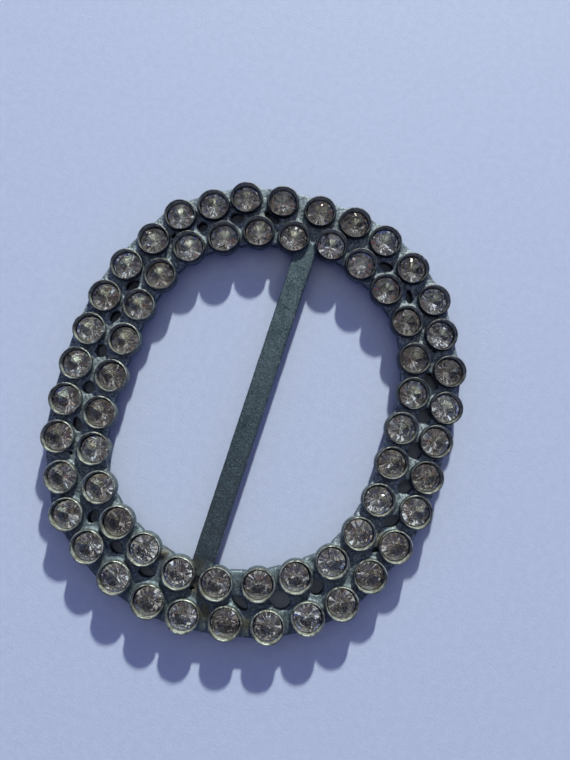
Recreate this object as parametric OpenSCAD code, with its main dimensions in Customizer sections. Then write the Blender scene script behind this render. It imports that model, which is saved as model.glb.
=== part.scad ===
// Rhinestone belt buckle: an oval ring of two rows of round stone cups, cast in one piece
// with a pierced web under the cups and a flat bar across the middle.
// Millimetres. The buckle lies on its back on z = 0, with the bar along Y.

/* [Ring] */
// Length of the even ring over its cups, along the bar
ring_length = 75.7; // [74:0.1:84]
// Width of the even ring over its cups, across the bar
ring_width = 66.5; // [65:0.1:74]
// Squareness of the outer row: 2 is an ellipse, more is fuller in the corners
outer_squareness = 2.4; // [2.2:0.05:2.7]
// Squareness of the inner row
inner_squareness = 2.5; // [2.3:0.05:2.8]
// Distance between the lines of the two rows
row_step = 5.9; // [5.8:0.1:6.4]

/* [Cups] */
// Outer diameter of a cup at its rim
cup_d = 5.5; // [5.4:0.1:5.6]
// Height of the rims above the back
cup_h = 3.8; // [3.7:0.1:4.4]
// Bore of a cup around its stone
bore_d = 4.84; // [4.84:0.02:4.9]
// Bevel around the top of the rim
rim_bevel = 0.15; // [0.05:0.05:0.2]
// Height of the tapered foot under each cup
foot_h = 1.6; // [1.3:0.1:1.7]
// How much narrower the foot's flat end is than the cup, on each side
foot_taper = 0.5; // [0.3:0.1:0.7]

/* [Web and bar] */
// Height of the web's upper face above the back
web_top = 2.5; // [2.2:0.1:2.7]
// Thickness of the web
web_t = 1.7; // [1.4:0.1:1.8]
// How far the web reaches outside the outer row's line
outer_reach = 2.3; // [1.8:0.1:2.4]
// How far the web reaches inside the inner row's line
inner_reach = 1.8; // [1.4:0.1:2.2]
// Height of the bar's upper face above the back
bar_top = 3; // [2.8:0.1:3.2]
// Thickness of the bar
bar_t = 1.4; // [1.2:0.1:1.8]
// Width of the bar at its upper end
bar_w_top = 3.7; // [3:0.1:4]
// Width of the bar at its lower end
bar_w_bottom = 3.5; // [3:0.1:4]

/* [Stones] */
// Diameter of a stone at its girdle
stone_d = 4.5; // [4.3:0.05:4.5]
// Width of the eight-sided table, as a share of the girdle
table_share = 0.56; // [0.45:0.01:0.65]
// Height of the crown, from the girdle to the table
crown_h = 0.6; // [0.5:0.05:0.65]
// Height of the girdle band
girdle_h = 0.12; // [0.05:0.01:0.15]
// Depth of the pavilion, from the girdle to the point
pavilion_h = 1.8; // [1.6:0.1:1.9]
// Depth of the table below the rim
table_drop = 0.5; // [0.3:0.05:0.55]
// Most that a stone sits off the middle of its cup
stone_stray = 0.04; // [0:0.02:0.04]
// Most that a stone leans, in degrees
stone_lean = 2.5; // [0:0.5:2.5]

/* [Hidden] */

outer_count = 34;
inner_count = 28;
// Share of a pitch from the top to the first cup: a cup on the line of the bar, or a gap
outer_start = 0;
inner_start = 0.5;
// Middle of each row, and how far the web was cast off the rows
outer_middle = [0, 0.2];
inner_middle = [0, 0.6];
web_shift = [-0.2, 0.15];
// Middle of the bar at its upper and its lower end: it stands a little askew
bar_x_top = -0.37;
bar_x_bottom = 0.14;
// Slow wander of the cups along their row, clockwise
// columns: whole row, sine and cosine once round, sine and cosine twice round
outer_wander = [-0.2, -0.5, 0.1, 0.4, 0];
inner_wander = [-0.1, -0.3, 0.25, 0.2, 0.2];

// Cups that were set off the even row, counted clockwise from the top of the photo
// columns: cup, along the row, outward
outer_strays = [
    [1, 0, 0.3],
    [2, -0.3, 0.2],
    [4, 0.3, 0.2],
    [5, 0.1, -0.4],
    [6, 0.3, 0.4],
    [7, 0.3, 0.3],
    [8, 0, -0.2],
    [10, -0.3, 0.3],
    [12, 0, -0.4],
    [14, -0.4, -0.3],
    [15, -0.2, -0.2],
    [16, 0.2, -0.3],
    [17, 0.5, 0.4],
    [18, 0, 0.3],
    [20, 0.2, -0.2],
    [21, 0, 0.4],
    [22, -0.3, -0.1],
    [23, 0, 0.3],
    [28, 0.3, -0.2],
    [29, 0.5, -0.6],
    [30, 0.5, 0.2],
    [31, 0.2, -0.3],
    [32, -0.3, 0.2],
    [33, -0.3, 0]
];
inner_strays = [
    [0, 0, 0.6],
    [1, -0.3, 0],
    [2, -0.3, -0.2],
    [3, 0, 0.3],
    [4, 0.3, 0.4],
    [5, 0, 0.4],
    [6, 0, -0.3],
    [7, -0.2, -0.2],
    [11, 0, -0.7],
    [12, -0.1, -0.4],
    [13, 0.2, 0.4],
    [14, 0, 0.7],
    [15, 0.2, 0],
    [17, 0, 0.3],
    [18, 0, 0.4],
    [19, -0.3, 0],
    [20, -0.2, -0.3],
    [21, 0, -0.2],
    [24, 0.4, 0.3],
    [25, 0.2, -0.6],
    [26, 0, -0.2],
    [27, -0.2, -0.1]
];

// Holes that the casting left in the web between the rows. Shares are of a gap: along it, clockwise,
// from its outer cup to the next one, and across it, from the outer row's line to the inner one's
// columns: outer cup before the gap, share along, share across, half length, half width, lean
web_holes = [
    [2, 0.49, 0.47, 0.18, 0.15, -0.45],
    [3, 0.51, 0.51, 0.15, 0.13, 0.6],
    [5, 0.5, 0.31, 0.08, 0.07, 0],
    [6, 0.43, 0.46, 0.19, 0.22, -0.25],
    [7, 0.43, 0.47, 0.22, 0.2, 0.15],
    [8, 0.44, 0.46, 0.23, 0.2, 0.05],
    [9, 0.45, 0.43, 0.2, 0.2, 0.3],
    [10, 0.43, 0.4, 0.18, 0.18, 0.25],
    [11, 0.28, 0.34, 0.09, 0.07, 0],
    [13, 0.55, 0.57, 0.2, 0.19, 0],
    [14, 0.56, 0.52, 0.27, 0.24, 0.1],
    [15, 0.55, 0.51, 0.15, 0.19, 0.4],
    [17, 0.38, 0.69, 0.05, 0.04, 0],
    [18, 0.54, 0.54, 0.18, 0.15, -0.35],
    [19, 0.52, 0.5, 0.18, 0.14, 0],
    [20, 0.53, 0.49, 0.12, 0.17, 0.2],
    [22, 0.68, 0.3, 0.04, 0.04, 0],
    [23, 0.47, 0.42, 0.17, 0.15, -0.4],
    [24, 0.5, 0.47, 0.17, 0.17, 0],
    [25, 0.54, 0.48, 0.18, 0.16, -0.15],
    [26, 0.55, 0.47, 0.17, 0.13, 0.2],
    [27, 0.52, 0.45, 0.16, 0.15, 0.3],
    [29, 0.64, 0.31, 0.07, 0.06, 0],
    [30, 0.53, 0.47, 0.14, 0.15, 0],
    [31, 0.55, 0.46, 0.2, 0.17, -0.1],
    [32, 0.55, 0.45, 0.16, 0.17, 0.45]
];
hole_sides = 12;

cup_r = cup_d / 2;
girdle_r = stone_d / 2;
girdle_top = cup_h - table_drop - crown_h;
seat_drop = 0.25;
seat_z = girdle_top - girdle_h - seat_drop;
seat_clear = 0.25;
point_z = girdle_top - girdle_h - pavilion_h;
facets = 8;

row_steps = 180;
stray_seed = 7;
lean_seed = 11;

// A row of cups runs clockwise from +Y along a superellipse.
// A row is [half width, half length, squareness, middle, count, start, wander, strays].
outer_row = [
    ring_width / 2 - cup_r, ring_length / 2 - cup_r, outer_squareness,
    outer_middle, outer_count, outer_start, outer_wander, outer_strays
];
inner_row = [
    outer_row[0] - row_step, outer_row[1] - row_step, inner_squareness,
    inner_middle, inner_count, inner_start, inner_wander, inner_strays
];

function row_point(row, angle) =
    let (across = pow(abs(sin(angle)) / row[0], row[2]))
    let (along = pow(abs(cos(angle)) / row[1], row[2]))
    row[3] + pow(across + along, -1 / row[2]) * [sin(angle), cos(angle)];

// Pairs of [distance along the row, angle], for lookup
function row_table(row) =
    let (ring = [for (i = [0:row_steps]) row_point(row, 360 * i / row_steps)])
    let (steps = [for (i = [1:row_steps]) norm(ring[i] - ring[i - 1])])
    [for (i = 0, s = 0; i <= row_steps; s = s + (i < row_steps ? steps[i] : 0), i = i + 1)
        [s, 360 * i / row_steps]];

function at_length(row, table, s) =
    let (whole = table[row_steps][0])
    row_point(row, lookup((s + whole) % whole, table));

function stray_of(strays, k, column) =
    let (found = [for (row = strays) if (row[0] == k) row[column]])
    len(found) > 0 ? found[0] : 0;

function cup_centre(row, table, k) =
    let (pitch = table[row_steps][0] / row[4])
    let (turn = 360 * (k + row[5]) / row[4])
    let (waves = [1, sin(turn), cos(turn), sin(2 * turn), cos(2 * turn)])
    let (s = (k + row[5]) * pitch + row[6] * waves + stray_of(row[7], k, 1))
    let (ahead = at_length(row, table, s + 0.5) - at_length(row, table, s - 0.5))
    let (outward = [-ahead[1], ahead[0]] / norm(ahead))
    at_length(row, table, s) + stray_of(row[7], k, 2) * outward;

function row_centres(row) =
    let (table = row_table(row))
    [for (k = [0:row[4] - 1]) cup_centre(row, table, k)];

outer_cups = row_centres(outer_row);
inner_cups = row_centres(inner_row);

// Points of a row's line moved outward by a distance, one at each cup
function moved_line(cups, distance) =
    let (n = len(cups))
    [for (k = [0:n - 1])
        let (ahead = cups[(k + 1) % n] - cups[(k + n - 1) % n])
        cups[k] + distance * [-ahead[1], ahead[0]] / norm(ahead)];

// The gap of the inner row that lies nearest to the gap after an outer cup
function gap_middle(cups, k) = (cups[k] + cups[(k + 1) % len(cups)]) / 2;
function nearest_inner_gap(k) =
    let (here = gap_middle(outer_cups, k))
    let (far = [for (m = [0:inner_count - 1]) norm(gap_middle(inner_cups, m) - here)])
    search(min(far), far)[0];

function between(a, b, share) = a + share * (b - a);

// Corners of a rounded hole, inside the quad of the four cups around its gap
function hole_corners(hole) =
    let (m = nearest_inner_gap(hole[0]))
    let (a = outer_cups[hole[0]])
    let (b = outer_cups[(hole[0] + 1) % outer_count])
    let (c = inner_cups[(m + 1) % inner_count])
    let (d = inner_cups[m])
    [for (i = [0:hole_sides - 1])
        let (turn = 360 * (i + 0.5) / hole_sides)
        let (across = hole[2] + hole[4] * sin(turn))
        let (along = hole[1] + hole[3] * cos(turn) + hole[5] * hole[4] * sin(turn))
        between(between(a, b, along), between(d, c, along), across)];

module web() {
    translate([0, 0, web_top - web_t])
        linear_extrude(web_t)
            difference() {
                translate(web_shift) polygon(moved_line(outer_cups, outer_reach));
                translate(web_shift) polygon(moved_line(inner_cups, -inner_reach));
                for (hole = web_holes)
                    polygon(hole_corners(hole));
            }
}

// Flat bar, a little wider at its upper end, that ends between the middle cups of the inner row
module bar() {
    top_y = between(inner_cups[0], inner_cups[inner_count - 1], 0.5)[1];
    bottom_y = between(inner_cups[inner_count / 2 - 1], inner_cups[inner_count / 2], 0.5)[1];
    translate([0, 0, bar_top - bar_t])
        linear_extrude(bar_t)
            polygon([
                [bar_x_top - bar_w_top / 2, top_y],
                [bar_x_top + bar_w_top / 2, top_y],
                [bar_x_bottom + bar_w_bottom / 2, bottom_y],
                [bar_x_bottom - bar_w_bottom / 2, bottom_y]
            ]);
}

module cup_body() {
    rotate_extrude($fn = 48)
        polygon([
            [0, 0],
            [cup_r - foot_taper, 0],
            [cup_r, foot_h],
            [cup_r, cup_h - rim_bevel],
            [cup_r - rim_bevel, cup_h],
            [0, cup_h]
        ]);
}

// Straight bore around the stone's girdle, with a cone below for its pointed back
module cup_pocket() {
    bore_r = bore_d / 2;
    rotate_extrude($fn = 48)
        polygon([
            [0, point_z - seat_clear],
            [seat_clear, point_z - seat_clear],
            [bore_r, seat_z],
            [bore_r, cup_h + 1],
            [0, cup_h + 1]
        ]);
}

module cast_frame() {
    color("dimgray")
        difference() {
            union() {
                web();
                bar();
                for (centre = concat(outer_cups, inner_cups))
                    translate(centre) cup_body();
            }
            for (centre = concat(outer_cups, inner_cups))
                translate(centre) cup_pocket();
        }
}

// A stone with its girdle's top on z = 0, as rings of points:
// 0 to 7 the table, 8 to 23 the girdle's top, 24 to 39 its bottom, 40 the point
stone_points = concat(
    [for (i = [0:facets - 1])
        let (a = 360 * i / facets)
        [table_share * girdle_r * cos(a), table_share * girdle_r * sin(a), crown_h]],
    [for (z = [0, -girdle_h])
        for (i = [0:2 * facets - 1])
            let (a = 180 * (i - 0.5) / facets)
            [girdle_r * cos(a), girdle_r * sin(a), z]],
    [[0, 0, -girdle_h - pavilion_h]]
);

module stone() {
    t = 0;
    g = facets;
    b = 3 * facets;
    p = 5 * facets;
    n = 2 * facets;
    polyhedron(points = stone_points, faces = concat(
        [[for (i = [facets - 1:-1:0]) t + i]],
        [for (i = [0:facets - 1]) [t + i, g + 2 * i, g + 2 * i + 1]],
        [for (i = [0:facets - 1])
            let (j = (i + 1) % facets)
            [t + j, t + i, g + 2 * i + 1, g + 2 * j]],
        [for (i = [0:n - 1])
            let (j = (i + 1) % n)
            [g + j, g + i, b + i, b + j]],
        [for (i = [0:n - 1]) [b + (i + 1) % n, b + i, p]]
    ));
}

module row_of_stones(cups, seed) {
    strays = rands(-stone_stray, stone_stray, 2 * len(cups), seed);
    leans = rands(-stone_lean, stone_lean, 2 * len(cups), seed + lean_seed);
    turns = rands(0, 360 / facets, len(cups), seed + stray_seed);
    for (k = [0:len(cups) - 1])
        translate([
            cups[k][0] + strays[2 * k],
            cups[k][1] + strays[2 * k + 1],
            girdle_top
        ])
            rotate([leans[2 * k], leans[2 * k + 1], turns[k]])
                stone();
}

module outer_stones() {
    color("lightgray") row_of_stones(outer_cups, 1);
}

module inner_stones() {
    color("gainsboro") row_of_stones(inner_cups, 2);
}

cast_frame();
outer_stones();
inner_stones();
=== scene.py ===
import math
import random

import bmesh
import bpy
import numpy as np
from mathutils import Matrix, Vector, noise
from mathutils.geometry import delaunay_2d_cdt


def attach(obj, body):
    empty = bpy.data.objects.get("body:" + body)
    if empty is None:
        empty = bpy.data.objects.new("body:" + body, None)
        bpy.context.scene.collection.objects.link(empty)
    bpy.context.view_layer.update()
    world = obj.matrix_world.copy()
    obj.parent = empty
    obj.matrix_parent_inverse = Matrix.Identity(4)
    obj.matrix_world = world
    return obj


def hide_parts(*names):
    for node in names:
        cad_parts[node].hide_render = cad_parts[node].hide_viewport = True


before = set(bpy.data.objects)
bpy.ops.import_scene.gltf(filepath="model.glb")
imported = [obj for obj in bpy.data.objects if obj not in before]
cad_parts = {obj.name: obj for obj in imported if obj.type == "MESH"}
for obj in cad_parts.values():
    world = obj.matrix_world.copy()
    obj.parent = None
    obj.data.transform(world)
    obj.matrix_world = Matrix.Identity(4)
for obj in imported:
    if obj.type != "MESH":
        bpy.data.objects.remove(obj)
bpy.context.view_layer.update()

# The looks of an oval belt buckle: a cast frame of worn pot metal with 62 cups, and a stone in each.
# Shapes are worked out in millimetres, in the frame of the solids, and become metres when a mesh is made.
MM = 0.001

# Sizes that the solids were made with, in millimetres
CUP_R = 2.75
BORE_R = 2.42
RIM_Z = 3.8
WEB_TOP = 2.5
WEB_UNDER = 0.8
BAR_TOP = 3.0
BAR_UNDER = 1.6
BAR_ENDS = [(-0.37, 29.97), (0.14, -29.05)]
BAR_HALF = 1.8
FOOT_R = 2.25
FOOT_H = 1.6
SEAT_Z = 2.33
POCKET_Z = 0.53
POCKET_END_R = 0.25
GIRDLE_R = 2.25
TABLE_SHARE = 0.56
CROWN_H = 0.6
GIRDLE_H = 0.12
PAVILION_H = 1.8
# A level that cuts the web, the bar and the cups
SECTION_Z = 2.2
# Reading the solids: places are told apart to this many decimals, measures this near are the same,
# and a corner this near the line between its neighbours is left out
DECIMALS = 3
SAME = 0.01
STRAIGHT = 0.002
# How far beyond its size a stone or a cup is looked for
STONE_REACH = 0.5
CUP_REACH = 0.2

# How the casting was shaped by its mould and by wear, in millimetres
BASE_FLARE = 0.09
FILLET_W = 0.55
FILLET_H = 0.28
BAR_SLOPE = 0.4
CAST_WAVE = 0.035
CAST_WAVE_LENGTH = 3.0
SKIN_WAVE = 0.02
SKIN_WAVE_LENGTH = 0.55
# The web's edges are rounded over this width, and drop by these shares of it
EDGE_ROUND = 0.22
UPPER_DROP = 0.8
LOWER_DROP = 0.6

# How finely the casting's mesh is laid out
CUP_SIDES = 44
NICKED_SIDES = 88
OUTLINE_STEP = 0.35
# Rows of corners beside the cups and beside the web's edges, where its faces bend, and the room
# that these rows keep from other cups and edges
CUP_ROWS = (0.1, 0.22, 0.4)
EDGE_ROWS = (0.07, 0.17)
ROWS_FROM_EDGE = 0.05
ROWS_FROM_CUP = 0.06
# A grid of corners over the rest of the web, whose rows are a share of a step apart for even triangles
GRID_STEP = 0.5
GRID_ROW = 0.87
GRID_MARGIN = 4
GRID_FROM_EDGE = 0.3
GRID_FROM_CUP = 0.55
# Corners that are nearer than this are one, and this many points are measured at a time
MERGE = 1e-5
BATCH = 2000

# Lumps that the mould left on the upper face: x, y, radius, height
LUMPS = [
    (-8.1, 25.9, 0.9, 0.5),
    (-6.3, -27.2, 0.8, 0.45),
    (-14.0, 38.4, 0.5, 0.3),
]
# Yellow-brown corrosion between the cups: x, y, radius. It fades out at this many radii.
RUST_REACH = 1.5
RUST = [
    (-0.8, -27.3, 1.3),
    (0.7, -30.1, 1.5),
    (2.7, -33.8, 1.3),
    (9.7, -33.6, 1.0),
    (25.9, -14.0, 1.2),
    (-6.3, -27.2, 0.9),
]

# Cups with a nick in the rim: row, cup, direction in degrees from +X, half width in degrees, depth.
# A nick cuts only the part of the lip above this share of its height.
NICK_START = 0.5
NICKS = [
    ("outer", 3, 62, 8, 0.35),
    ("outer", 6, 12, 6, 0.2),
]


def cad_mesh(node):
    """A solid's corners in millimetres and its triangles, with corners at one place made one."""
    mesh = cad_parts[node].data
    mesh.calc_loop_triangles()
    points = np.empty(3 * len(mesh.vertices))
    mesh.vertices.foreach_get("co", points)
    points = points.reshape(-1, 3) / MM
    faces = np.empty(3 * len(mesh.loop_triangles), int)
    mesh.loop_triangles.foreach_get("vertices", faces)
    places, back = np.unique(points.round(DECIMALS), axis=0, return_inverse=True)
    return places, back.reshape(-1)[faces.reshape(-1, 3)]


def clockwise(places):
    """The order of places round the ring, clockwise from the bar's upper end."""
    start = 0.05
    turns = [(math.atan2(p[0], p[1]) + start) % math.tau for p in places]
    return np.argsort(turns)


def read_stones(node):
    """Each stone's point, the middle of its table and a corner of the table, in row order."""
    places, _ = cad_mesh(node)
    tips = places[places[:, 2] < places[:, 2].min() + STONE_REACH]
    stones = []
    for tip in tips[clockwise(tips)]:
        near = places[np.linalg.norm(places[:, :2] - tip[:2], axis=1) < GIRDLE_R + STONE_REACH]
        table = near[near[:, 2] > near[:, 2].max() - CROWN_H / 2]
        stones.append((Vector(tip), Vector(table.mean(axis=0)), Vector(table[0])))
    return stones


def read_cups(stones):
    """The middle of the cup around each stone, from the frame's rims."""
    places, _ = cad_mesh("cast_frame")
    rims = places[places[:, 2] > RIM_Z - SAME, :2]
    cups = []
    for tip, _, _ in stones:
        rim = rims[np.linalg.norm(rims - np.array(tip[:2]), axis=1) < CUP_R + CUP_REACH]
        cups.append((rim.min(axis=0) + rim.max(axis=0)) / 2)
    return np.array(cups)


def read_web():
    """The outline of the casting at the section's level, as pairs of places in the plane."""
    places, faces = cad_mesh("cast_frame")
    height = places[:, 2] - SECTION_Z
    cut = (height[faces].max(axis=1) > 0) & (height[faces].min(axis=1) <= 0)
    links = {}
    for face in faces[cut]:
        ends = []
        for i, j in zip(face, np.roll(face, -1)):
            if (height[i] > 0) != (height[j] > 0):
                i, j = sorted((i, j))
                share = height[i] / (height[i] - height[j])
                place = places[i] + share * (places[j] - places[i])
                ends.append(tuple(place[:2].round(DECIMALS)))
        if ends[0] != ends[1]:
            links.setdefault(ends[0], []).append(ends[1])
            links.setdefault(ends[1], []).append(ends[0])
    for here in list(links):
        a, b = links[here]
        along = np.subtract(b, a)
        off = np.subtract(here, a)
        if abs(along[0] * off[1] - along[1] * off[0]) < STRAIGHT * np.linalg.norm(along):
            links[a][links[a].index(here)] = b
            links[b][links[b].index(here)] = a
            del links[here]
    return np.array([(a, b) for a, ends in links.items() for b in ends if a < b])


outer_stones = read_stones("outer_stones")
inner_stones = read_stones("inner_stones")
outer_cups = read_cups(outer_stones)
inner_cups = read_cups(inner_stones)
cups = np.vstack([outer_cups, inner_cups])
# The cups widen a little towards the web, and crowded ones only as far as they stay apart
spacing = np.linalg.norm(cups[:, None] - cups[None], axis=2)
np.fill_diagonal(spacing, np.inf)
base_radii = np.minimum(CUP_R + BASE_FLARE, spacing.min(axis=1) / 2 - SAME)
nicks = {k + (row == "inner") * len(outer_cups): nick for row, k, *nick in NICKS}
cup_sides = np.full(len(cups), CUP_SIDES)
cup_sides[list(nicks)] = NICKED_SIDES
web_edges = read_web()
on_cup = np.array([
    np.linalg.norm(cups - edge.mean(axis=0), axis=1).min() < CUP_R + SAME
    for edge in web_edges
])
outlines = web_edges[~on_cup]


def inside_web(points):
    """Which points lie within the web's upper face as the solid has it, with even-odd counting."""
    a, b = web_edges[:, 0], web_edges[:, 1]
    inside = np.zeros(len(points), bool)
    for start in range(0, len(points), BATCH):
        p = points[start:start + BATCH, None, :]
        crosses = (a[:, 1] > p[..., 1]) != (b[:, 1] > p[..., 1])
        rise = np.where(crosses, b[:, 1] - a[:, 1], 1)
        at = a[:, 0] + (p[..., 1] - a[:, 1]) / rise * (b[:, 0] - a[:, 0])
        inside[start:start + BATCH] = (crosses & (p[..., 0] < at)).sum(axis=1) % 2 == 1
    return inside


def to_outline(points):
    """Distance from each point to the nearest edge of the web, apart from the cups."""
    a = outlines[:, 0]
    along = outlines[:, 1] - a
    whole = (along ** 2).sum(axis=1)
    found = np.empty(len(points))
    for start in range(0, len(points), BATCH):
        p = points[start:start + BATCH, None, :]
        share = np.clip(((p - a) * along).sum(axis=2) / whole, 0, 1)
        apart = np.linalg.norm(p - a - share[..., None] * along, axis=2)
        found[start:start + BATCH] = apart.min(axis=1)
    return found


def to_cups(points):
    """Distance from each point to the nearest cup's foot line on the web."""
    apart = np.linalg.norm(points[:, None, :] - cups, axis=2)
    return (apart - base_radii).min(axis=1)


def under_cups(points):
    """Which points lie inside a cup's foot line, which has straight sides."""
    away = points[:, None, :] - cups
    half_side = math.pi / cup_sides
    bent = np.mod(np.arctan2(away[..., 1], away[..., 0]), 2 * half_side) - half_side
    reach = np.linalg.norm(away, axis=2) * np.cos(bent)
    return (reach < base_radii * np.cos(half_side)).any(axis=1)


def rounded(distance, width, height):
    """How far a rounded edge has dropped at this distance from it."""
    share = np.clip(1 - distance / width, 0, 1)
    return height * (1 - np.sqrt(1 - share ** 2))


def on_bar(points):
    """1 on the bar and 0 on the web, with a short slope between them."""
    (top_x, top_y), (low_x, low_y) = BAR_ENDS
    share = (points[:, 1] - low_y) / (top_y - low_y)
    aside = np.abs(points[:, 0] - low_x - share * (top_x - low_x)) - BAR_HALF
    beyond = np.abs(share - 0.5) * (top_y - low_y) - (top_y - low_y) / 2
    near = np.clip(1 - np.maximum(aside, beyond + BAR_SLOPE) / BAR_SLOPE, 0, 1)
    return near * near * (3 - 2 * near)


def upper_face(points):
    """Height of the casting's upper face between the cups."""
    level = WEB_TOP + (BAR_TOP - WEB_TOP) * on_bar(points)
    for x, y, r, h in LUMPS:
        away = np.linalg.norm(points - (x, y), axis=1) / r
        level = level + h * np.clip(1 - away ** 2, 0, 1) ** 2
    fillet = FILLET_H * np.clip(1 - to_cups(points) / FILLET_W, 0, 1) ** 2
    return level + fillet - rounded(to_outline(points), EDGE_ROUND, UPPER_DROP * EDGE_ROUND)


def lower_face(points):
    """Height of the casting's lower face: the bar's lies a little higher than the web's."""
    level = WEB_UNDER + (BAR_UNDER - WEB_UNDER) * on_bar(points)
    return level + rounded(to_outline(points), EDGE_ROUND, LOWER_DROP * EDGE_ROUND)


def rust_near(points):
    """How close each place is to a patch of corrosion, from 0 to 1."""
    found = np.zeros(len(points))
    for x, y, r in RUST:
        away = np.linalg.norm(points[:, :2] - (x, y), axis=1) / r
        found = np.maximum(found, np.clip(RUST_REACH - away, 0, 1))
    return found


def ring_places(centre, r, sides, start=0.0):
    """Places at even steps round a centre, of which the first is a share of a step past +X."""
    turns = [math.tau * (i + start) / sides for i in range(sides)]
    return [centre + (r * math.cos(t), r * math.sin(t)) for t in turns]


def clear_places(points, from_edge, from_cup):
    """Those points on the web that keep these distances from its edges and from the cups."""
    clear = (to_outline(points) > from_edge) & (to_cups(points) > from_cup)
    return points[inside_web(points) & clear]


def places_in_rows():
    """Places in rows beside the cups and beside the web's edges."""
    found = []
    for distance in CUP_ROWS:
        for centre in cups:
            found.extend(ring_places(centre, CUP_R + BASE_FLARE + distance, CUP_SIDES, 0.5))
    for start, end in outlines:
        along = end - start
        length = np.linalg.norm(along)
        side = np.array([-along[1], along[0]]) / length
        bits = max(1, math.ceil(length / OUTLINE_STEP))
        for i in range(bits):
            middle = start + along * (i + 0.5) / bits
            for distance in EDGE_ROWS:
                found.extend([middle + side * distance, middle - side * distance])
    return clear_places(np.array(found), ROWS_FROM_EDGE, ROWS_FROM_CUP)


def places_in_grid():
    """Places in a grid over the rest of the web, with every other row half a step aside."""
    low = cups.min(axis=0) - GRID_MARGIN
    high = cups.max(axis=0) + GRID_MARGIN
    found = []
    for j, y in enumerate(np.arange(low[1], high[1], GRID_STEP * GRID_ROW)):
        aside = (j % 2) * GRID_STEP / 2
        found.extend((x + aside, y) for x in np.arange(low[0], high[0], GRID_STEP))
    return clear_places(np.array(found), GRID_FROM_EDGE, GRID_FROM_CUP)


def lay_out_web():
    """Triangles of the web between the cups, in the plane, and the ring of places round each cup."""
    points = []
    edges = []
    edge_cup = []

    def chain(places, closed, cup):
        first = len(points)
        points.extend(places)
        n = len(places)
        for i in range(n if closed else n - 1):
            edges.append((first + i, first + (i + 1) % n))
            edge_cup.append(cup)

    for start, end in outlines:
        bits = max(1, math.ceil(np.linalg.norm(end - start) / OUTLINE_STEP))
        chain([start + (end - start) * i / bits for i in range(bits + 1)], False, -1)
    for k, (centre, sides) in enumerate(zip(cups, cup_sides)):
        chain(ring_places(centre, base_radii[k], sides), True, k)
    points.extend(places_in_rows())
    points.extend(places_in_grid())

    flat = [Vector((float(p[0]), float(p[1]))) for p in points]
    places, found_edges, faces, _, from_edges, _ = delaunay_2d_cdt(flat, edges, [], 0, MERGE)
    places = np.array([tuple(p) for p in places])
    corners = np.array(faces)
    middles = places[corners].mean(axis=1)
    corners = corners[inside_web(middles) & ~under_cups(middles)]

    rings = [set() for _ in cups]
    for (i, j), source in zip(found_edges, from_edges):
        for k in {edge_cup[s] for s in source if s < len(edge_cup)} - {-1}:
            rings[k].update((i, j))
    ordered = []
    for ring, centre in zip(rings, cups):
        ordered.append(sorted(ring, key=lambda i: math.atan2(*(places[i] - centre)[::-1])))
    return places, corners, ordered


# How a corner of the casting looks: how worn, how dark from dirt and painted shade, how chalky and how
# olive it is
LOOKS = ("wear_and_sheen", "dirt_and_shade", "chalk_and_light", "olive")
# The cup from its foot line up to the lip, as rows of
# [radius, share of the way from the foot line to the lip's foot, looks]
LIP_FOOT = 3.3
# The walls' dirt is painted shade: it darkens the cups' outer walls all round
WALL_PROFILE = [
    [CUP_R + 0.03, 0.3, (0.0, 0.65, 0.15, 0.4)],
    [CUP_R, 0.62, (0.0, 0.65, 0.0, 0.7)],
    [CUP_R - 0.01, 1.0, (0.1, 0.55, 0.0, 0.9)],
]
# Over the rim and down the bore, as rows of [radius, height, looks]. Its dirt is partly painted shade: on
# the outer wall, in the groove inside the lip, and deep in the bore under the stone.
RIM_PROFILE = [
    [CUP_R - 0.015, 3.58, (0.1, 0.6, 0.0, 1.0)],
    [CUP_R - 0.02, 3.665, (0.65, 0.35, 0.0, 1.0)],
    [CUP_R - 0.11, 3.765, (0.75, 0.1, 0.0, 1.0)],
    [CUP_R - 0.14, 3.79, (0.2, 0.4, 0.0, 1.0)],
    [CUP_R - 0.17, RIM_Z, (0.4, 0.25, 0.0, 1.0)],
    [BORE_R + 0.13, 3.73, (0.3, 0.4, 0.0, 1.0)],
    [BORE_R + 0.11, 3.63, (0.1, 0.7, 0.0, 1.0)],
    [BORE_R + 0.085, 3.62, (0.7, 0.1, 0.0, 1.0)],
    [BORE_R + 0.065, 3.55, (1.0, 0.0, 0.5, 1.0)],
    [BORE_R + 0.045, 3.42, (0.75, 0.0, 1.0, 1.0)],
    [BORE_R + 0.01, 3.1, (0.6, 0.0, 1.0, 1.0)],
    [BORE_R - 0.03, 2.75, (0.5, 0.1, 1.0, 1.0)],
    [BORE_R - 0.035, 2.58, (0.2, 0.5, 0.5, 1.0)],
    [BORE_R - 0.04, SEAT_Z, (0.0, 1.0, 0.0, 0.0)],
    [1.45, 1.45, (0.0, 1.0, 0.0, 0.0)],
    [POCKET_END_R, POCKET_Z + 0.05, (0.0, 1.0, 0.0, 0.0)],
]
# Where the rim's two edges lie: painted shade darkens the cups on the shaded side outside the outer one,
# and the bore starts at the inner one
OUTER_EDGE = CUP_R - 0.12
INNER_EDGE = BORE_R + 0.12
FOOT_PROFILE = [
    [2.35, 0.3, (0.2, 0.5, 0.0, 0.0)],
    [FOOT_R + 0.03, 0.06, (0.6, 0.0, 0.0, 0.5)],
    [FOOT_R, 0.0, (0.7, 0.0, 0.0, 0.5)],
]
# Painted shade: the pocket under each stone is black
POCKET_SHADE_LOOKS = (0.0, 1.0, 0.0, 0.0)
FOOT_LOOKS = (0.6, 0.0, 0.0, 0.5)
# Wear on the web's edges, and painted shade in the corners beside the cups: how wide and how strong. The
# underside is darkened with painted shade.
EDGE_WEAR_W = 0.25
UPPER_EDGE_WEAR = 0.4
LOWER_EDGE_WEAR = 0.3
CORNER_SHADE_W = 0.4
CORNER_SHADE = 0.25
UNDERSIDE_SHADE = 0.8
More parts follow.
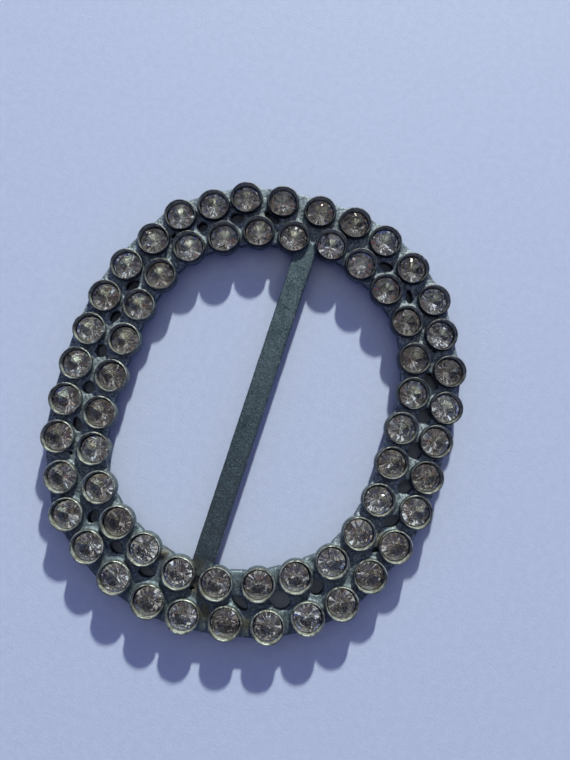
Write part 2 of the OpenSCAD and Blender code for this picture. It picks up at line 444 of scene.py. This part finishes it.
# The bar is darker towards its lower end
BAR_DARKENING = 0.65
BAR_LENGTH = BAR_ENDS[0][1] - BAR_ENDS[1][1]
# The web is chalky near the bar's upper end and grows darker towards the other, from one y to another
CHALK_FROM = -36.0
CHALK_FULL = -8.0
CHALK_LEAST = 0.2
# Painted shade and highlight: towards one side of the ring the cups get duller wear, darker walls and
# outer rims, and paler bores. The way there, and how far along it from the ring's middle the fade starts
# and is at its least
SHADED_CUPS_WAY = Vector((0.4, 0.92))
SHADE_STARTS = -10.0
SHADE_FULL = 28.0
KEPT_LEAST = 0.2
# Painted light: a bore's chalk, which pales it, is multiplied by this number less the share of wear and
# light that its cup keeps
BORE_PALING = 1.3
# Side walls: the rows of corners down them, and how they look: darkened, and black with painted shade
# where one with three cups this near lies inside a hole.
WALL_SHARES = [0.15, 0.5, 0.85]
WALL_WEAR = 0.1
WALL_DARKENING = 0.4
WALL_CHALK = 0.2
NEAR_CUP = 5.0
HOLE_SHADE = 1.0

# The cups stray from their round form only above this level. These are the most that each does:
# the rim's slope, how far it sinks, how oval and three-cornered it is, and the bore's shift.
STRAY_LEVEL = 2.9
RIM_SLOPE = 0.014
RIM_SINK = 0.05
RIM_OVAL = 0.035
RIM_BULGE = 0.02
BORE_SHIFT = 0.08
# Worn dips round the rim: how deep, how closely they follow each other, and how far apart
# the cups' own pieces of the noise start
DIP_DEPTH = 0.045
DIP_PACE = 2.2
NOISE_SPAN = 100
FRAME_SEED = 4


class Metal:
    """Collects the corners and faces of the cast frame, and how each corner looks."""

    def __init__(self):
        self.places = []
        self.looks = []
        self.faces = []
        self.top = {}
        self.bottom = {}

    def corner(self, x, y, z, looks):
        """Adds a corner and gives its number."""
        self.places.append((x, y, z))
        self.looks.append(looks)
        return len(self.places) - 1

    def ribbon(self, a, b):
        """Faces between two rings of corners, where b lies after a along the profile."""
        for i in range(len(a)):
            j = (i + 1) % len(a)
            self.faces.append((a[i], a[j], b[j], b[i]))


def foot_line(place, z, cup):
    """Where a place on a cup's foot line lies at a height, as the cup tapers into its foot."""
    if cup is None:
        return place
    low = max(0.0, FOOT_H - z) / FOOT_H
    if not low:
        return place
    away = place - cup
    return cup + away * (CUP_R - low * (CUP_R - FOOT_R)) / np.linalg.norm(away)


def nick_depth(nick, turn, high):
    """How deep a nick cuts a rim, in one direction and at a share of the lip's height."""
    way, half_width, depth = nick
    away = abs((math.degrees(turn) - way + 180) % 360 - 180) / half_width
    if away < 1 and high > NICK_START:
        return depth * (1 - away ** 2) * (high - NICK_START) / (1 - NICK_START)
    return 0.0


def raise_cup(metal, ring, centre, rng, nick):
    """The cup above the web, on the corners that it shares with the web."""
    # Painted shade and highlight: the share of bright wear and of light that this cup keeps, least on one
    # side of the ring
    kept_wear_and_light = np.interp(SHADED_CUPS_WAY.dot(centre), (SHADE_STARTS, SHADE_FULL), (1.0, KEPT_LEAST))
    base = [metal.places[metal.top[i]] for i in ring]
    turns = [math.atan2(p[1] - centre[1], p[0] - centre[0]) for p in base]
    slope = (rng.uniform(-RIM_SLOPE, RIM_SLOPE), rng.uniform(-RIM_SLOPE, RIM_SLOPE))
    lift = rng.uniform(-RIM_SINK, 0.0)
    oval = rng.uniform(0.0, RIM_OVAL)
    oval_turn = rng.uniform(0, math.tau)
    bulge = rng.uniform(-RIM_BULGE, RIM_BULGE)
    off = (rng.uniform(-BORE_SHIFT, BORE_SHIFT), rng.uniform(-BORE_SHIFT, BORE_SHIFT))
    chatter = rng.uniform(0, NOISE_SPAN)
    rows = [[metal.top[i] for i in ring]]
    # Painted shade: where the cup keeps less, its walls are darker and their wear duller
    for r, share, (wear_and_sheen, dirt_and_shade, chalk_and_light, olive) in WALL_PROFILE:
        looks = (kept_wear_and_light * wear_and_sheen, dirt_and_shade + 1 - kept_wear_and_light, chalk_and_light, olive)
        rows.append([
            metal.corner(
                centre[0] + r * math.cos(t), centre[1] + r * math.sin(t),
                p[2] + share * (LIP_FOOT - p[2]), looks,
            )
            for t, p in zip(turns, base)
        ])
    for r, z, (wear_and_sheen, dirt_and_shade, chalk_and_light, olive) in RIM_PROFILE:
        high = max(0.0, z - STRAY_LEVEL) / (RIM_Z - STRAY_LEVEL)
        in_bore = r < INNER_EDGE
        shift = off if in_bore else (0.0, 0.0)
        # Painted light in the bore, which is paler where the cup keeps less; painted shade outside it,
        # with duller wear and darkening outside the outer edge
        if in_bore:
            chalk_and_light = chalk_and_light * (BORE_PALING - kept_wear_and_light)
        else:
            wear_and_sheen = kept_wear_and_light * wear_and_sheen
            dirt_and_shade = dirt_and_shade + (1 - kept_wear_and_light if r > OUTER_EDGE else 0.0)
        row = []
        for t in turns:
            x, y = math.cos(t), math.sin(t)
            out = r + high * (oval * math.cos(2 * (t - oval_turn)) + bulge * math.cos(3 * t))
            shake = noise.noise(Vector((DIP_PACE * x + chatter, DIP_PACE * y, 0.0)))
            dip = DIP_DEPTH * high * max(0.0, shake)
            level = z + high * (lift + CUP_R * (slope[0] * x + slope[1] * y)) - dip
            if nick:
                level -= nick_depth(nick, t, high)
            # Towards the shaded side, the bores are also darker on their side towards -y
            bore_darkening = (1 - kept_wear_and_light) * (0.5 - 0.5 * y) * in_bore
            row.append(metal.corner(
                centre[0] + out * x + shift[0] * high,
                centre[1] + out * y + shift[1] * high,
                level, (wear_and_sheen * (1 - bore_darkening), dirt_and_shade + bore_darkening, chalk_and_light * (1 - bore_darkening), olive),
            ))
        rows.append(row)
    for a, b in zip(rows, rows[1:]):
        metal.ribbon(a, b)
    end = metal.corner(centre[0], centre[1], POCKET_Z, POCKET_SHADE_LOOKS)
    last = rows[-1]
    for i, corner in enumerate(last):
        metal.faces.append((corner, last[(i + 1) % len(last)], end))


def drop_foot(metal, ring, centre):
    """The tapered foot under a cup."""
    base = [metal.places[metal.bottom[i]] for i in ring]
    turns = [math.atan2(p[1] - centre[1], p[0] - centre[0]) for p in base]
    rows = [[metal.bottom[i] for i in ring]]
    for r, z, looks in FOOT_PROFILE:
        rows.append([
            metal.corner(centre[0] + r * math.cos(t), centre[1] + r * math.sin(t), z, looks)
            for t in turns
        ])
    for a, b in zip(rows, rows[1:]):
        metal.ribbon(b, a)
    end = metal.corner(centre[0], centre[1], 0.0, FOOT_LOOKS)
    last = rows[-1]
    for i, corner in enumerate(last):
        metal.faces.append((corner, end, last[(i + 1) % len(last)]))


def cast_frame():
    """The whole casting as one closed mesh: web, bar, cups and feet share their corners."""
    places, corners, rings = lay_out_web()
    metal = Metal()
    columns = {}
    used = np.unique(np.concatenate([corners.ravel(), [i for ring in rings for i in ring]]))
    tops = upper_face(places)
    bottoms = lower_face(places)
    edge_near = to_outline(places)
    cup_near = to_cups(places)
    fade = np.clip((places[:, 1] - CHALK_FROM) / (CHALK_FULL - CHALK_FROM), 0, 1)
    on_web = 1 - on_bar(places)
    chalky = on_web * (CHALK_LEAST + (1 - CHALK_LEAST) * fade)
    on_ring = {i: cups[k] for k, ring in enumerate(rings) for i in ring}
    for i in used:
        x, y = places[i]
        edge = max(0.0, 1 - edge_near[i] / EDGE_WEAR_W)
        corner = max(0.0, 1 - cup_near[i] / CORNER_SHADE_W)
        # Painted shade in the corners beside the cups, and the bar darker towards its lower end
        dirt_and_shade = CORNER_SHADE * corner ** 2 + BAR_DARKENING * (1 - on_web[i]) * (0.5 - y / BAR_LENGTH)
        looks = (UPPER_EDGE_WEAR * edge * (1 - corner), dirt_and_shade, chalky[i], 0.0)
        metal.top[i] = metal.corner(x, y, tops[i], looks)
        # Painted shade under the web
        looks = (LOWER_EDGE_WEAR * edge, UNDERSIDE_SHADE, 0.0, 0.0)
        x, y = foot_line(places[i], bottoms[i], on_ring.get(i))
        metal.bottom[i] = metal.corner(x, y, bottoms[i], looks)
    for a, b, c in corners:
        metal.faces.append((metal.top[a], metal.top[b], metal.top[c]))
        metal.faces.append((metal.bottom[c], metal.bottom[b], metal.bottom[a]))

    def column(i):
        """Corners down a side wall, from the upper face to the lower one."""
        if i not in columns:
            cups_near = (np.linalg.norm(cups - places[i], axis=1) < NEAR_CUP).sum()
            # Side walls inside holes are black with painted shade
            looks = (WALL_WEAR, HOLE_SHADE if cups_near > 2 else WALL_DARKENING, WALL_CHALK, 0.0)
            middle = []
            for share in WALL_SHARES:
                z = tops[i] + share * (bottoms[i] - tops[i])
                x, y = foot_line(places[i], z, on_ring.get(i))
                middle.append(metal.corner(x, y, z, looks))
            columns[i] = [metal.top[i], *middle, metal.bottom[i]]
        return columns[i]

    def wall(a, b):
        """The side wall under an edge that has the metal on its left."""
        for k in range(len(WALL_SHARES) + 1):
            left, right = column(a), column(b)
            metal.faces.append((left[k], left[k + 1], right[k + 1], right[k]))

    # A wall goes wherever neither the web nor another cup's ring has the same edge the other way
    directed = {(a, b) for face in corners for a, b in zip(face, np.roll(face, -1))}
    cup_steps = [(a, b) for ring in rings for a, b in zip(ring, ring[1:] + ring[:1])]
    stepped = set(cup_steps)
    for a, b in [*cup_steps, *directed]:
        if (b, a) not in directed and (b, a) not in stepped:
            wall(a, b)

    rng = random.Random(FRAME_SEED)
    for k, (ring, centre) in enumerate(zip(rings, cups)):
        raise_cup(metal, ring, centre, rng, nicks.get(k))
        drop_foot(metal, ring, centre)
    return metal


def uneven(x, y, z):
    """Where a corner of the casting really lies, after the mould's slow waves and its grainy skin."""
    at = Vector((x, y, z))
    slow = noise.noise_vector(at / CAST_WAVE_LENGTH) * CAST_WAVE
    skin = noise.noise_vector(at / SKIN_WAVE_LENGTH) * SKIN_WAVE
    moved = at + slow + skin
    moved.z = z + (slow.z + skin.z) * min(1.0, z / WEB_UNDER)
    return moved


def add_object(name, mesh, node=None):
    """A new object in the scene, which takes the place of a solid's node when one is named."""
    piece = bpy.data.objects.new(name, mesh)
    bpy.context.scene.collection.objects.link(piece)
    if node:
        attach(piece, "root")
        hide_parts(node)
    return piece


def add_values(mesh, name, values):
    """A value for each corner, which the materials read by its name."""
    layer = mesh.attributes.new(name, "FLOAT", "POINT")
    layer.data.foreach_set("value", np.array(values, np.float32))


# Without a seed of its own, the noise of the waves and the skin would start anew in each run
NOISE_SEED = 4
# Edges that bend more than this, in degrees, are shaded as sharp
SHARP = 60


def make_frame():
    """The casting, with the looks of its corners."""
    noise.seed_set(NOISE_SEED)
    metal = cast_frame()
    mesh = bpy.data.meshes.new("buckle_frame")
    mesh.from_pydata([uneven(*p) * MM for p in metal.places], [], metal.faces)
    for name, values in zip(LOOKS, zip(*metal.looks)):
        add_values(mesh, name, values)
    add_values(mesh, "rust", rust_near(np.array(metal.places)))
    mesh.shade_smooth()
    mesh.set_sharp_from_angle(angle=math.radians(SHARP))
    return add_object("buckle_frame", mesh, "cast_frame")


# How far the stones are moved from the places of their solids, and how far their girdles and points
# wander, in millimetres
STONE_SHIFT = Vector((0.01, -0.06, 0.0))
GIRDLE_WANDER = 0.07
TIP_WANDER = 0.14
FACETS = 8
BEVEL = 0.02
# Faces that reach further below the girdle than this are on the stone's back, which has the foil
BACK_START = 0.05
# The share of a facet's tint that its whole stone has
STONE_TINT = 0.4


def cut_stone(rng):
    """One stone with its girdle's upper edge on z = 0: table, crown, girdle and pointed back."""
    shape = bmesh.new()
    table = []
    r = TABLE_SHARE * GIRDLE_R
    for i in range(FACETS):
        t = math.tau * i / FACETS
        table.append(shape.verts.new((r * math.cos(t), r * math.sin(t), CROWN_H)))
    girdle = []
    for z in (0.0, -GIRDLE_H):
        wander = GIRDLE_WANDER if z else 0.0
        turns = [math.tau * (i - 0.5) / (2 * FACETS) for i in range(2 * FACETS)]
        girdle.append([
            shape.verts.new((
                GIRDLE_R * math.cos(t), GIRDLE_R * math.sin(t), z - rng.uniform(0, 2 * wander),
            ))
            for t in turns
        ])
    aside = [rng.uniform(-TIP_WANDER, TIP_WANDER) for _ in range(2)]
    point = shape.verts.new((*aside, -GIRDLE_H - PAVILION_H))
    upper, lower = girdle
    shape.faces.new(table)
    for i in range(FACETS):
        j = (i + 1) % FACETS
        shape.faces.new((table[i], upper[2 * i], upper[2 * i + 1]))
        shape.faces.new((table[i], upper[2 * i + 1], upper[2 * j], table[j]))
    for i in range(2 * FACETS):
        j = (i + 1) % (2 * FACETS)
        shape.faces.new((upper[i], lower[i], lower[j], upper[j]))
        shape.faces.new((lower[i], point, lower[j]))
    bmesh.ops.bevel(
        shape, geom=shape.edges[:], offset=BEVEL, segments=1, affect="EDGES", clamp_overlap=True
    )
    for face in shape.faces:
        deepest = min(v.co.z for v in face.verts)
        face.material_index = 1 if deepest < -GIRDLE_H - 2 * GIRDLE_WANDER - BACK_START else 0
    return shape


def make_stones(name, stones, node, seed):
    """A row of stones, each where its solid lies and as that one leans and turns."""
    rng = random.Random(seed)
    whole = bmesh.new()
    tint = whole.faces.layers.float.new("tint")
    for tip, middle, corner in stones:
        up = (middle - tip).normalized()
        across = corner - middle
        across = (across - across.dot(up) * up).normalized()
        aside = up.cross(across)
        turn = Matrix((across, aside, up)).transposed().to_4x4()
        single = bpy.data.meshes.new("single")
        cut_stone(rng).to_mesh(single)
        single.transform(Matrix.Translation(middle + STONE_SHIFT - CROWN_H * up) @ turn)
        first = len(whole.faces)
        whole.from_mesh(single)
        bpy.data.meshes.remove(single)
        whole.faces.ensure_lookup_table()
        shade = rng.random()
        for face in whole.faces[first:]:
            face[tint] = STONE_TINT * shade + (1 - STONE_TINT) * rng.random()
    bmesh.ops.scale(whole, vec=(MM, MM, MM), verts=whole.verts[:])
    mesh = bpy.data.meshes.new(name)
    whole.to_mesh(mesh)
    return add_object(name, mesh, node)


class Nodes:
    """A short way to write a material's node tree."""

    def __init__(self, owner):
        """The tree of a world, or of a new material when given a name."""
        if isinstance(owner, str):
            owner = bpy.data.materials.new(owner)
            owner.use_nodes = True
        self.material = owner
        self.tree = owner.node_tree
        self.tree.nodes.clear()

    def add(self, kind, inputs=(), **settings):
        """A new node, with its settings and with links or plain values for its inputs."""
        node = self.tree.nodes.new(kind)
        for key, value in settings.items():
            setattr(node, key, value)
        for socket, value in dict(inputs).items():
            if isinstance(value, bpy.types.NodeSocket):
                self.tree.links.new(value, node.inputs[socket])
            else:
                node.inputs[socket].default_value = value
        return node

    def millimetres(self):
        """The place of a point on the piece, in millimetres."""
        place = self.add("ShaderNodeTexCoord").outputs["Object"]
        return self.add("ShaderNodeVectorMath", {0: place, "Scale": 1 / MM}, operation="SCALE").outputs[0]

    def noise(self, at, size, detail=3.0, roughness=0.55):
        """Noise whose features are about size millimetres wide."""
        node = self.add("ShaderNodeTexNoise", {
            "Vector": at, "Scale": 1 / size, "Detail": detail, "Roughness": roughness,
        })
        return node.outputs["Fac"]

    def between(self, value, low, high, to_low=0.0, to_high=1.0):
        """A value's way from low to high, as a number from to_low to to_high."""
        node = self.add("ShaderNodeMapRange", {
            "Value": value, "From Min": low, "From Max": high, "To Min": to_low, "To Max": to_high,
        })
        return node.outputs["Result"]

    def math(self, operation, a, b=0.0, clamp=False):
        return self.add("ShaderNodeMath", {0: a, 1: b}, operation=operation, use_clamp=clamp).outputs[0]

    def mix(self, share, a, b):
        """Colour a, replaced by colour b to a share."""
        node = self.add("ShaderNodeMix", data_type="RGBA")
        for socket, value in ((0, share), (6, a), (7, b)):
            if isinstance(value, bpy.types.NodeSocket):
                self.tree.links.new(value, node.inputs[socket])
            else:
                node.inputs[socket].default_value = value if socket == 0 else (*value, 1.0)
        return node.outputs[2]

    def attribute(self, name):
        """A value that the mesh has for each corner or face."""
        return self.add("ShaderNodeAttribute", attribute_name=name).outputs["Fac"]

    def finish(self, shader):
        self.add("ShaderNodeOutputMaterial", {"Surface": shader})
        return self.material


# The casting's colours: its skin, the crust of the chalky web, its olive and limed bores, corrosion, the
# black of dirt and painted shade, and metal that wear has laid bare
SKIN_DARK = (0.062, 0.095, 0.1)
SKIN_PALE = (0.085, 0.12, 0.125)
SKIN_BLOTCH = (0.12, 0.16, 0.165)
SKIN_GRAIN = (0.45, 0.54, 0.56)
SKIN_PIT = (0.02, 0.025, 0.03)
CRUST_DARK = (0.04, 0.052, 0.06)
CRUST_PALE = (0.15, 0.19, 0.21)
CRUST_KNOB = (0.36, 0.43, 0.43)
CRUST_PIT = (0.02, 0.026, 0.03)
CRUST_GRAIN = (0.6, 0.68, 0.66)
OLIVE_DARK = (0.055, 0.06, 0.046)
OLIVE_PALE = (0.28, 0.29, 0.225)
LIMED_DARK = (0.32, 0.33, 0.24)
LIMED_PALE = (0.72, 0.74, 0.57)
CORROSION = (0.17, 0.14, 0.07)
BARE_METAL = (0.52, 0.56, 0.46)
SOIL_AND_SHADE = (0.012, 0.014, 0.016)


def metal_material():
    """Worn pot metal: a dull blue-grey skin, chalky on the web, worn on the rims, and darkened by dirt and
    by painted shade, which is black in the corners, holes and pockets.
    """
    n = Nodes("worn_pot_metal")
    at = n.millimetres()
    wear_and_sheen = n.attribute("wear_and_sheen")
    dirt_and_shade = n.attribute("dirt_and_shade")
    grain = n.noise(at, 0.22, 4.0, 0.65)
    knobs = n.noise(at, 0.5, 3.0, 0.6)
    blotch = n.noise(at, 1.3, 3.0)
    slow = n.noise(at, 6.0, 2.0)
    light_grain = n.between(grain, 0.5, 0.66)
    dark_grain = n.between(grain, 0.48, 0.38)
    rough_cast = n.attribute("chalk_and_light")
    skin = n.mix(n.between(slow, 0.4, 0.6), SKIN_DARK, SKIN_PALE)
    skin = n.mix(n.between(blotch, 0.45, 0.7), skin, SKIN_BLOTCH)
    skin = n.mix(n.math("MULTIPLY", light_grain, 0.28), skin, SKIN_GRAIN)
    skin = n.mix(n.math("MULTIPLY", dark_grain, 0.3), skin, SKIN_PIT)
    crust = n.mix(n.between(blotch, 0.38, 0.58), CRUST_DARK, CRUST_PALE)
    crust = n.mix(n.between(knobs, 0.47, 0.6), crust, CRUST_KNOB)
    crust = n.mix(n.math("MULTIPLY", dark_grain, 0.6), crust, CRUST_PIT)
    crust = n.mix(n.math("MULTIPLY", light_grain, 0.5), crust, CRUST_GRAIN)
    crusted = n.math("MULTIPLY", rough_cast, n.between(blotch, 0.3, 0.5, 0.55, 1.0))
    skin = n.mix(crusted, skin, crust)
    olive = n.mix(n.between(knobs, 0.4, 0.6), OLIVE_DARK, OLIVE_PALE)
    limed = n.mix(n.between(knobs, 0.4, 0.6), LIMED_DARK, LIMED_PALE)
    olive = n.mix(rough_cast, olive, limed)
    shiny = n.attribute("olive")
    skin = n.mix(shiny, skin, olive)
    rust = n.math("MULTIPLY", n.attribute("rust"), n.between(grain, 0.42, 0.56))
    skin = n.mix(rust, skin, CORROSION)
    picked = n.noise(at, 1.1, 2.0)
    scuffed = n.math("ADD", wear_and_sheen, n.between(grain, 0.35, 0.65, -0.35, 0.2))
    scuffed = n.math("ADD", scuffed, n.between(picked, 0.4, 0.6, -0.75, 0.3))
    bright = n.between(scuffed, 0.45, 0.75)
    colour = n.mix(bright, skin, BARE_METAL)
    # Dirt and painted shade, broken up by noise, take the colour towards black
    soiled_and_shaded = n.math("ADD", dirt_and_shade, n.between(blotch, 0.35, 0.65, -0.25, 0.2))
    soil_and_shade = n.between(soiled_and_shaded, 0.3, 0.95, 0.0, 0.95)
    colour = n.mix(soil_and_shade, colour, SOIL_AND_SHADE)
    gloss = n.math("MAXIMUM", n.math("MULTIPLY", shiny, 0.7), bright)
    rough = n.between(gloss, 0.0, 1.0, 0.56, 0.26)
    rough = n.math("ADD", rough, n.between(grain, 0.3, 0.7, -0.06, 0.1), clamp=True)
    dull = n.math("ADD", n.math("ADD", soil_and_shade, rough_cast), n.math("MULTIPLY", shiny, 0.75))
    metallic = n.between(dull, 0.0, 1.0, 0.85, 0.3)
    knob_height = n.between(rough_cast, 0.0, 1.0, 1.0, 2.5)
    relief = n.math("ADD", grain, n.math("MULTIPLY", knobs, knob_height))
    bump = n.add("ShaderNodeBump", {"Height": relief, "Strength": 0.8, "Distance": 0.08 * MM})
    shader = n.add("ShaderNodeBsdfPrincipled", {
        "Base Color": colour, "Roughness": rough, "Metallic": metallic, "Normal": bump.outputs[0],
    })
    return n.finish(shader.outputs[0])


# The glass in its smears and between them, and the share of light that its shadow lets through
CRYSTAL_SMEAR = (0.93, 0.93, 0.92)
CRYSTAL_CLEAR = (0.98, 0.98, 0.98)
CRYSTAL_SHADOW = (0.8, 0.8, 0.8, 1.0)
# How much the glass bends light
CRYSTAL_IOR = 1.55


def crystal_material():
    """Clear glass with a faint smear, which sunlight passes on its way to the foil."""
    n = Nodes("clear_crystal")
    at = n.millimetres()
    smear = n.noise(at, 0.7, 3.0)
    shader = n.add("ShaderNodeBsdfPrincipled", {
        "Base Color": n.mix(smear, CRYSTAL_SMEAR, CRYSTAL_CLEAR),
        "Roughness": n.between(smear, 0.3, 0.7, 0.0, 0.02),
        "IOR": CRYSTAL_IOR,
        "Transmission Weight": 1.0,
    })
    passed = n.add("ShaderNodeBsdfTransparent", {"Color": CRYSTAL_SHADOW})
    path = n.add("ShaderNodeLightPath")
    shared = n.add("ShaderNodeMixShader", {
        0: path.outputs["Is Shadow Ray"], 1: shader.outputs[0], 2: passed.outputs[0],
    })
    return n.finish(shared.outputs[0])


# The foil differs from stone to stone and from facet to facet between these two, and has tarnished
# blotches and dark specks
FOIL_WARM = (0.68, 0.65, 0.6)
FOIL_COLD = (0.92, 0.96, 0.98)
FOIL_BLOTCH = (0.72, 0.61, 0.55)
FOIL_SPECK = (0.1, 0.08, 0.07)


def foil_material():
    """Tarnished silver foil on the stones' backs, seen through the glass."""
    n = Nodes("tarnished_foil")
    at = n.millimetres()
    tint = n.attribute("tint")
    blotch = n.noise(at, 0.9, 3.0)
    speck = n.noise(at, 0.22, 2.0)
    silver = n.mix(n.between(tint, 0.25, 0.75), FOIL_WARM, FOIL_COLD)
    colour = n.mix(n.between(blotch, 0.52, 0.66), silver, FOIL_BLOTCH)
    colour = n.mix(n.between(speck, 0.62, 0.74, 0.0, 0.7), colour, FOIL_SPECK)
    shader = n.add("ShaderNodeBsdfPrincipled", {
        "Base Color": colour,
        "Metallic": n.between(tint, 0.1, 0.9, 0.85, 1.0),
        "Roughness": n.between(blotch, 0.3, 0.7, 0.0, 0.05),
    })
    return n.finish(shader.outputs[0])


# The paper's two shades, between which its fibres vary
PAPER_DARK = (0.575, 0.64, 0.775)
PAPER_PALE = (0.61, 0.675, 0.81)
# Half the width of the paper, in metres, so wide that its edges don't show
PAPER_HALF = 1.5


def paper_material():
    """Pale lilac paper with a faint grain."""
    n = Nodes("pale_paper")
    at = n.millimetres()
    fibre = n.noise(at, 1.2, 3.0)
    grain = n.noise(at, 0.4, 3.0)
    colour = n.mix(n.between(fibre, 0.35, 0.65), PAPER_DARK, PAPER_PALE)
    bump = n.add("ShaderNodeBump", {"Height": grain, "Strength": 0.45, "Distance": 0.05 * MM})
    shader = n.add("ShaderNodeBsdfPrincipled", {
        "Base Color": colour, "Roughness": 0.75, "Normal": bump.outputs[0],
    })
    return n.finish(shader.outputs[0])


def make_floor():
    """The paper that the buckle lies on."""
    mesh = bpy.data.meshes.new("paper")
    corners = [(x * PAPER_HALF, y * PAPER_HALF, 0) for x, y in ((-1, -1), (1, -1), (1, 1), (-1, 1))]
    mesh.from_pydata(corners, [], [(0, 1, 2, 3)])
    paper = add_object("paper", mesh)
    mesh.materials.append(paper_material())


# The light: a small bright lamp beyond the bar's upper end, low over the table, and a patchy sky for
# the stones to show. The lamp's place is a way, a height in degrees and a distance in millimetres.
LAMP_FROM = (-0.124, 0.992)
LAMP_HEIGHT = 23.0
LAMP_DISTANCE = 2600.0
LAMP_WIDTH = 110.0
LAMP_POWER = 92.0
LAMP_COLOUR = (0.96, 1.0, 0.97)
# The sky has three zones, one over the other: deep blue, grey, and dark where the camera looks down.
# They meet at these heights, as sines. Each has a side by the lamp and one away from it, which blend
# over this much on each side of the middle.
SIDES_MEET = 0.12
LOW_SKY_END = 0.66
HIGH_SKY_START = 0.74
TOP_SKY_START = 0.905
TOP_SKY_FULL = 0.94
# Patches over a zone's colour: size, offset, where they start and are full, and their colour
PATCH_DETAIL = 1.5
# On the lamp's side
TOP_FRONT = (0.07, 0.068, 0.08)
TOP_FRONT_PATCHES = [
    (0.07, 61.0, 0.54, 0.57, (0.95, 1.0, 1.05)),
]
LOW_FRONT = (0.06, 0.115, 0.5)
HIGH_FRONT = (0.14, 0.145, 0.15)
FRONT_PATCHES = [
    (0.12, 5.0, 0.54, 0.58, (0.07, 0.058, 0.05)),
    (0.1, 37.0, 0.55, 0.58, (1.1, 1.17, 1.3)),
]
# On the other side
TOP_BACK = (0.065, 0.063, 0.075)
TOP_BACK_PATCHES = [
    (0.09, 71.0, 0.52, 0.56, (0.22, 0.2, 0.19)),
]
LOW_BACK = (0.045, 0.065, 0.3)
HIGH_BACK = (0.06, 0.058, 0.056)
BACK_PATCHES = [
    (0.14, 3.0, 0.5, 0.54, (0.2, 0.215, 0.23)),
    (0.13, 23.0, 0.59, 0.63, (0.26, 0.1, 0.09)),
    (0.11, 51.0, 0.59, 0.62, (0.85, 0.92, 1.0)),
]
# Round the lamp
GLOW = (0.9, 0.93, 0.98)
GLOW_FOCUS = 40.0


def towards_lamp():
    """The way to the lamp, as a vector of length 1."""
    height = math.radians(LAMP_HEIGHT)
    level = Vector(LAMP_FROM).normalized().to_3d()
    return level * math.cos(height) + Vector((0, 0, math.sin(height)))


def make_light():
    lamp = bpy.data.lights.new("key", "AREA")
    lamp.shape = "DISK"
    lamp.size = LAMP_WIDTH * MM
    lamp.energy = LAMP_POWER
    lamp.color = LAMP_COLOUR
    key = bpy.data.objects.new("key", lamp)
    key.location = towards_lamp() * LAMP_DISTANCE * MM
    key.rotation_euler = towards_lamp().to_track_quat("Z", "Y").to_euler()
    bpy.context.scene.collection.objects.link(key)


def make_sky():
    world = bpy.data.worlds.new("sky")
    world.use_nodes = True
    bpy.context.scene.world = world
    n = Nodes(world)
    way = n.add("ShaderNodeTexCoord").outputs["Generated"]
    height = n.add("ShaderNodeSeparateXYZ", {0: way}).outputs["Z"]

    def patched(colour, patches):
        for size, offset, low, top, patch in patches:
            moved = n.add("ShaderNodeVectorMath", {0: way, 1: (offset, 0.0, 0.0)}, operation="ADD")
            noise_here = n.noise(moved.outputs[0], size, PATCH_DETAIL)
            colour = n.mix(n.between(noise_here, low, top), colour, patch)
        return colour

    side = n.add("ShaderNodeVectorMath", {0: way, 1: (*LAMP_FROM, 0.0)}, operation="DOT_PRODUCT")
    front = n.between(side.outputs["Value"], -SIDES_MEET, SIDES_MEET)
    low = n.mix(front, LOW_BACK, LOW_FRONT)
    high = n.mix(front, patched(HIGH_BACK, BACK_PATCHES), patched(HIGH_FRONT, FRONT_PATCHES))
    sky = n.mix(n.between(height, LOW_SKY_END, HIGH_SKY_START), low, high)
    top = n.mix(front, patched(TOP_BACK, TOP_BACK_PATCHES), patched(TOP_FRONT, TOP_FRONT_PATCHES))
    sky = n.mix(n.between(height, TOP_SKY_START, TOP_SKY_FULL), sky, top)
    near_lamp = n.add("ShaderNodeVectorMath", {0: way, 1: towards_lamp()}, operation="DOT_PRODUCT")
    glow = n.math("POWER", n.math("MAXIMUM", near_lamp.outputs["Value"], 0.0), GLOW_FOCUS)
    sky = n.mix(glow, sky, GLOW)
    background = n.add("ShaderNodeBackground", {"Color": sky})
    n.add("ShaderNodeOutputWorld", {"Surface": background.outputs[0]})


# The camera's place and aim in millimetres, and its turn in degrees, were fitted to the cups' rims in
# the photograph. The lens was assumed: 600 pixels for the photograph's width of 570.
CAMERA_AT = (5.71, -5.34, 102.42)
CAMERA_AIM = (3.25, 6.19, -0.6)
CAMERA_TURN = 18.42
PHOTO_WIDTH = 570
FOCAL_PIXELS = 600
SENSOR = 36.0


def make_camera():
    lens = bpy.data.cameras.new("camera")
    lens.sensor_fit = "HORIZONTAL"
    lens.sensor_width = SENSOR
    lens.lens = SENSOR * FOCAL_PIXELS / PHOTO_WIDTH
    lens.clip_start = 0.005
    lens.clip_end = 20
    at = Vector(CAMERA_AT) * MM
    forward = (Vector(CAMERA_AIM) * MM - at).normalized()
    turn = math.radians(CAMERA_TURN)
    right = forward.cross(Vector((-math.sin(turn), math.cos(turn), 0))).normalized()
    up = right.cross(forward)
    pose = Matrix((right, up, -forward)).transposed().to_4x4()
    camera = bpy.data.objects.new("camera", lens)
    camera.matrix_world = Matrix.Translation(at) @ pose
    bpy.context.scene.collection.objects.link(camera)
    bpy.context.scene.camera = camera


make_camera()
make_light()
make_sky()
make_floor()
buckle = make_frame()
buckle.data.materials.append(metal_material())
crystal = crystal_material()
foil = foil_material()
for name, stones, node, seed in (
    ("outer_crystals", outer_stones, "outer_stones", 21),
    ("inner_crystals", inner_stones, "inner_stones", 22),
):
    row = make_stones(name, stones, node, seed)
    row.data.materials.append(crystal)
    row.data.materials.append(foil)

scene = bpy.context.scene
scene.view_settings.view_transform = "Standard"
scene.cycles.caustics_reflective = False
scene.cycles.caustics_refractive = False
scene.cycles.glossy_bounces = 8
scene.cycles.sample_clamp_indirect = 6.0
